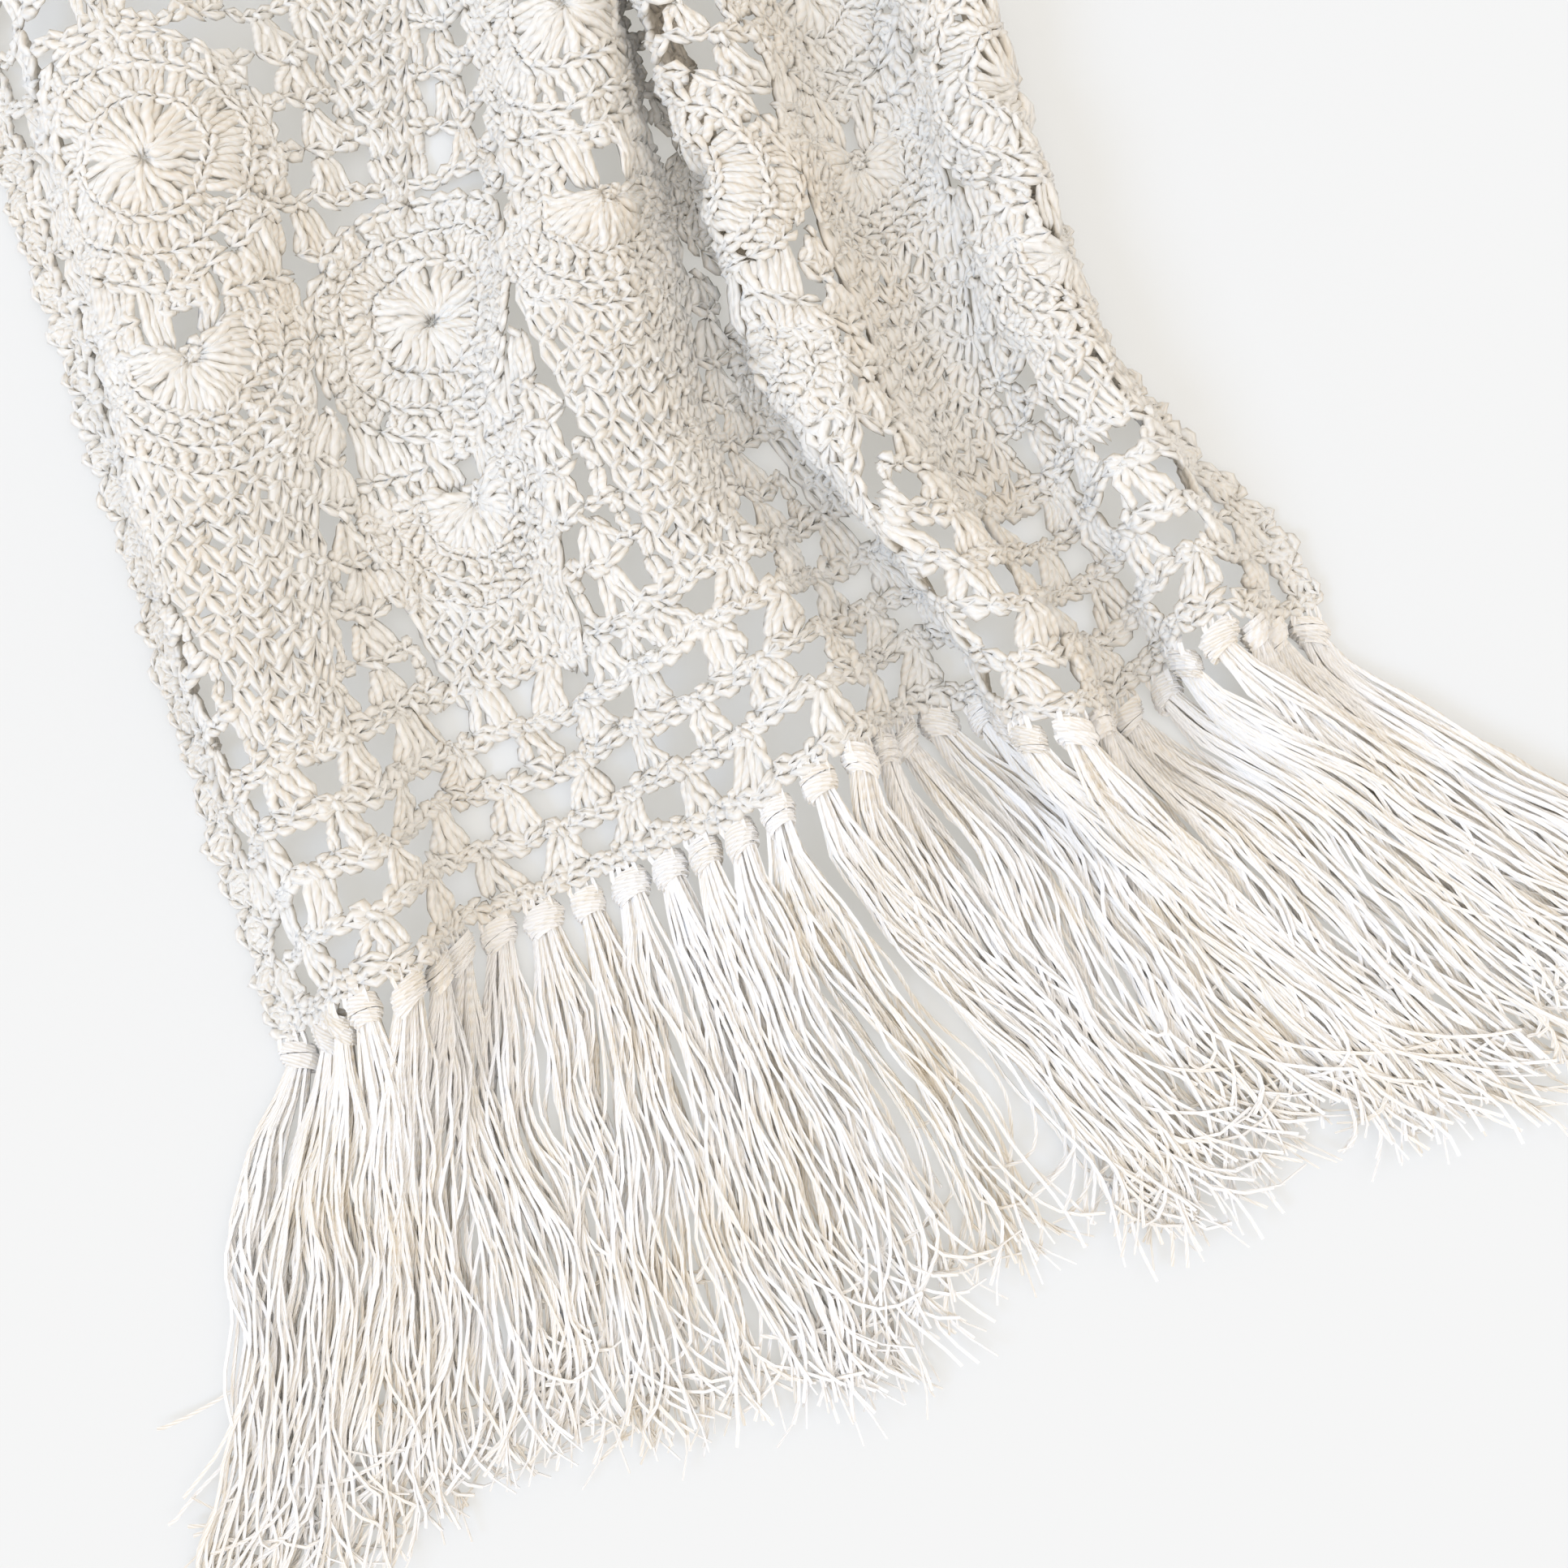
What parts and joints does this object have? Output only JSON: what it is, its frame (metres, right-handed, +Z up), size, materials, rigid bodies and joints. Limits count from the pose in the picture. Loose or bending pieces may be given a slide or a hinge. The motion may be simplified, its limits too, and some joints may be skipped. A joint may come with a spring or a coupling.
{
  "type": "crochet bed runner",
  "caption": "Openwork cotton crochet panel gathered in soft lengthwise folds, with a tassel fringe knotted along each short end, laid out flat as a bed runner.",
  "frame": {"origin": "middle of the runner's footprint, on the surface that it lies on", "axes": "+Z up, Y along the runner with its near fringe towards -Y, X across it"},
  "size_m": [0.5336, 1.5004, 0.043],
  "materials": {
    "crochet_cotton": "matte natural cotton yarn, crocheted",
    "fringe_cotton": "matte natural cotton strands, cut ends frayed"
  },
  "bodies": {
    "root": {"crochet_panel": "crochet_cotton", "near_fringe": "fringe_cotton", "far_fringe": "fringe_cotton"}
  },
  "joints": []
}
